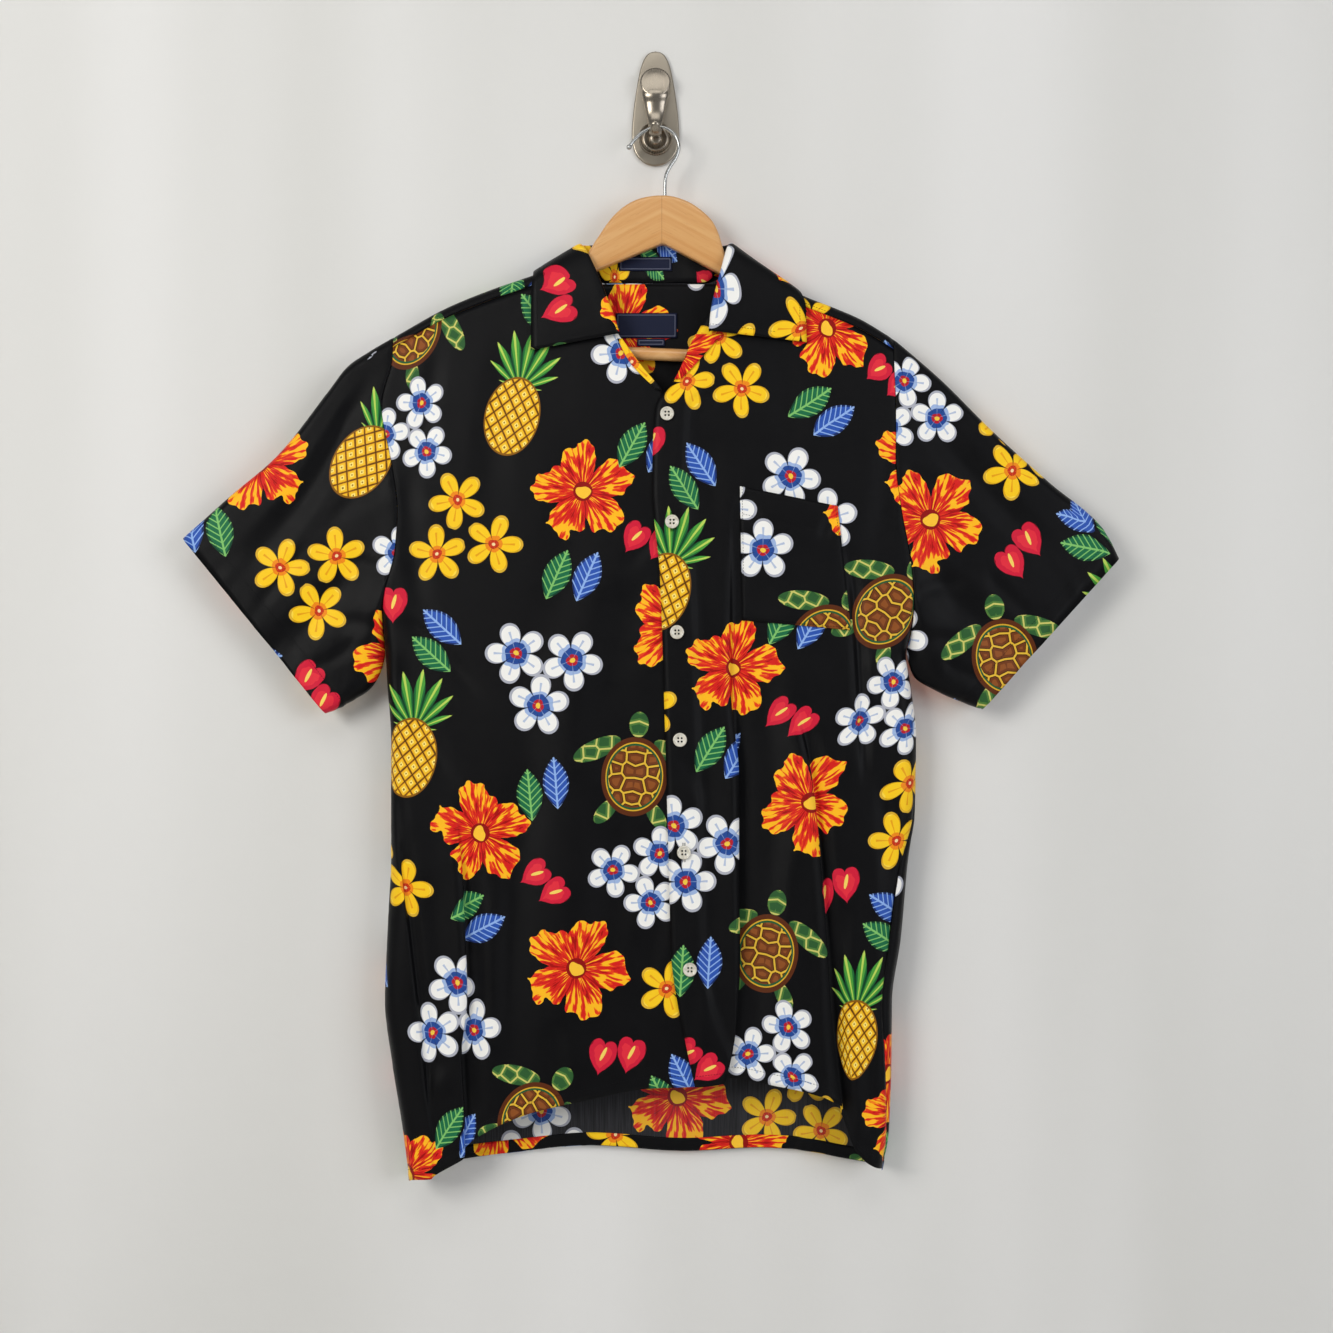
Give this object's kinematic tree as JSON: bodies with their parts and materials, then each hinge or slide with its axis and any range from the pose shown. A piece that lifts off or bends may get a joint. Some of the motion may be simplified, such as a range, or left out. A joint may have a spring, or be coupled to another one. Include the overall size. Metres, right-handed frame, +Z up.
{
  "type": "hawaiian shirt on a wooden hanger and wall hook",
  "caption": "Short-sleeved shirt with an open camp collar, a chest pocket and a curved hem, buttoned on a wooden hanger that hangs from a wall hook; one fixed shape.",
  "frame": {"origin": "middle of the flat back of the hook's wall plate, on the wall", "axes": "+X to the viewer's right, +Y into the wall, so the shirt faces -Y, +Z up"},
  "size_m": [0.857, 0.052, 1.0429],
  "materials": {
    "printed_cloth": "soft woven viscose, black ground printed with flowers, leaves, fruit and turtles",
    "woven_label": "blank woven satin tape",
    "ivory_button": "polished cast resin",
    "varnished_wood": "clear gloss varnish",
    "bright_steel": "drawn and plated wire",
    "satin_nickel": "satin plated casting"
  },
  "bodies": {
    "root": {"front_right": "printed_cloth", "front_left": "printed_cloth", "back": "printed_cloth", "yoke": "printed_cloth", "yoke_lining": "printed_cloth", "sleeve_right": "printed_cloth", "sleeve_left": "printed_cloth", "collar": "printed_cloth", "lapel_right": "printed_cloth", "lapel_left": "printed_cloth", "pocket": "printed_cloth", "button_1": "ivory_button", "button_2": "ivory_button", "button_3": "ivory_button", "button_4": "ivory_button", "button_5": "ivory_button", "button_6": "ivory_button", "neck_label": "woven_label", "size_tab": "woven_label", "care_label": "woven_label", "hanger_wood": "varnished_wood", "hanger_bar": "varnished_wood", "hanger_hook": "bright_steel", "wall_plate": "satin_nickel", "wall_prong": "satin_nickel"}
  },
  "joints": []
}
